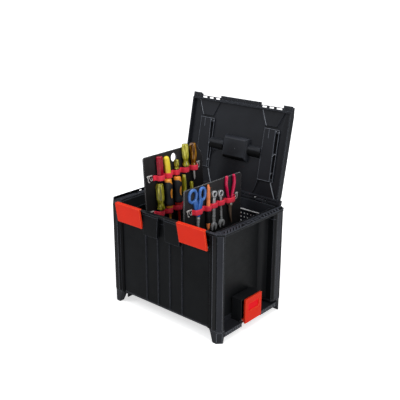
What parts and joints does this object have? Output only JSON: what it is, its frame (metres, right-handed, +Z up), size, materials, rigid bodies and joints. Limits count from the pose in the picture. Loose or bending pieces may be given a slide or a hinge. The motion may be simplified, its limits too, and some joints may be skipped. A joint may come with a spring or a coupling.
{
  "type": "tool bucket organizer",
  "caption": "Tall stackable tool box, open, with a hinged lid with carry handle, lift-up tool boards with elastic straps and hand tools, front latches and side stacking levers.",
  "frame": {"origin": "on the ground, at the middle of the outline of the open box in plan, 23.5 mm behind the middle of its feet", "axes": "+X to the right seen from the front, +Y to the back where the lid hinges, +Z up"},
  "size_m": [0.442, 0.3912, 0.6244],
  "materials": {
    "black_plastic": "black moulded plastic with a fine grain",
    "board_plastic": "black sheet plastic",
    "red_orange_plastic": "red-orange moulded plastic",
    "plated_steel": "zinc-plated steel",
    "chrome_steel": "bright chrome-plated steel",
    "strap_webbing": "crimson elastic webbing",
    "dark_red_grip": "glossy dark red plastic",
    "yellow_grip": "glossy yellow plastic",
    "olive_acetate": "clear olive-yellow plastic",
    "lime_acetate": "clear lime-yellow plastic",
    "amber_acetate": "clear amber-brown plastic",
    "insulated_grip": "black soft grip with orange bands",
    "blue_grip": "blue moulded plastic",
    "orange_barrel": "orange plastic barrel",
    "magenta_grip": "magenta dipped grip"
  },
  "bodies": {
    "case": {"base_tray": "black_plastic", "body_shell": "black_plastic", "top_frame": "black_plastic", "rear_panel": "black_plastic", "latch_plate_left": "black_plastic", "latch_plate_right": "black_plastic", "board_guide_left_front": "black_plastic", "board_guide_left_rear": "black_plastic", "board_guide_right_front": "black_plastic", "board_guide_right_rear": "black_plastic", "stacking_housing_left": "black_plastic", "stacking_housing_right": "black_plastic", "stacking_pin_left": "plated_steel", "stacking_pin_right": "plated_steel", "latch_pin_left": "plated_steel", "latch_pin_right": "plated_steel", "lid_hinge_pin_left": "plated_steel", "lid_hinge_pin_right": "plated_steel"},
    "lid": {"lid_shell": "black_plastic", "handle_well": "black_plastic", "lid_channel_left": "black_plastic", "lid_channel_right": "black_plastic", "handle_pin_left": "plated_steel", "handle_pin_right": "plated_steel"},
    "handle": {"carry_handle": "black_plastic"},
    "left_latch": {"latch_left": "red_orange_plastic"},
    "right_latch": {"latch_right": "red_orange_plastic"},
    "left_lever": {"stacking_lever_left": "red_orange_plastic"},
    "right_lever": {"stacking_lever_right": "red_orange_plastic"},
    "left_board": {"tool_board_left": "board_plastic", "strap_left_upper": "strap_webbing", "strap_left_lower": "strap_webbing", "strap_clip_upper_front": "plated_steel", "strap_clip_upper_rear": "plated_steel", "strap_clip_lower_front": "plated_steel", "strap_clip_lower_rear": "plated_steel", "screwdriver_red": "dark_red_grip", "screwdriver_yellow": "yellow_grip", "screwdriver_small_olive": "olive_acetate", "screwdriver_lime": "lime_acetate", "screwdriver_amber": "amber_acetate", "screwdriver_olive": "olive_acetate", "screwdriver_insulated_front": "insulated_grip", "screwdriver_insulated_rear": "insulated_grip", "screwdriver_short_lime": "lime_acetate", "screwdriver_precision": "lime_acetate"},
    "right_board": {"tool_board_right": "board_plastic", "strap_right": "strap_webbing", "strap_clip_right_front": "plated_steel", "strap_clip_right_rear": "plated_steel", "scissors_front_half": "blue_grip", "scissors_rear_half": "blue_grip", "scissors_screw": "plated_steel", "marker": "orange_barrel", "wrench_front": "chrome_steel", "wrench_rear": "chrome_steel", "pliers_front_half": "magenta_grip", "pliers_rear_half": "magenta_grip"}
  },
  "joints": [
    {"name": "lid_hinge", "type": "hinge", "parent": "case", "child": "lid", "pos_m": [0, 0.12446, 0.336], "axis": [1, 0, 0], "range_deg": [0, 101.3]},
    {"name": "handle_fold", "type": "hinge", "parent": "lid", "child": "handle", "pos_m": [0, 0.16631, 0.44593], "axis": [-1, 0, 0], "range_deg": [0, 95]},
    {"name": "left_latch_hinge", "type": "hinge", "parent": "case", "child": "left_latch", "pos_m": [-0.127, -0.17554, 0.288], "axis": [1, 0, 0], "range_deg": [-10, 70]},
    {"name": "right_latch_hinge", "type": "hinge", "parent": "case", "child": "right_latch", "pos_m": [0.127, -0.17554, 0.288], "axis": [1, 0, 0], "range_deg": [-10, 70]},
    {"name": "left_lever_pivot", "type": "hinge", "parent": "case", "child": "left_lever", "pos_m": [-0.209, -0.02654, 0.031], "axis": [0, -1, 0], "range_deg": [0, 15]},
    {"name": "right_lever_pivot", "type": "hinge", "parent": "case", "child": "right_lever", "pos_m": [0.209, -0.02654, 0.031], "axis": [0, 1, 0], "range_deg": [0, 15]},
    {"name": "left_board_lift", "type": "slide", "parent": "case", "child": "left_board", "axis": [-0.0698, 0, 0.9976], "range_m": [-0.197, 0]},
    {"name": "right_board_lift", "type": "slide", "parent": "case", "child": "right_board", "axis": [0, 0, 1], "range_m": [-0.132, 0]}
  ],
  "couplings": [
    {"joint": "left_board_lift", "follows": "lid_hinge", "m_per_rad": -0.1112},
    {"joint": "right_board_lift", "follows": "lid_hinge", "m_per_rad": -0.0745}
  ]
}
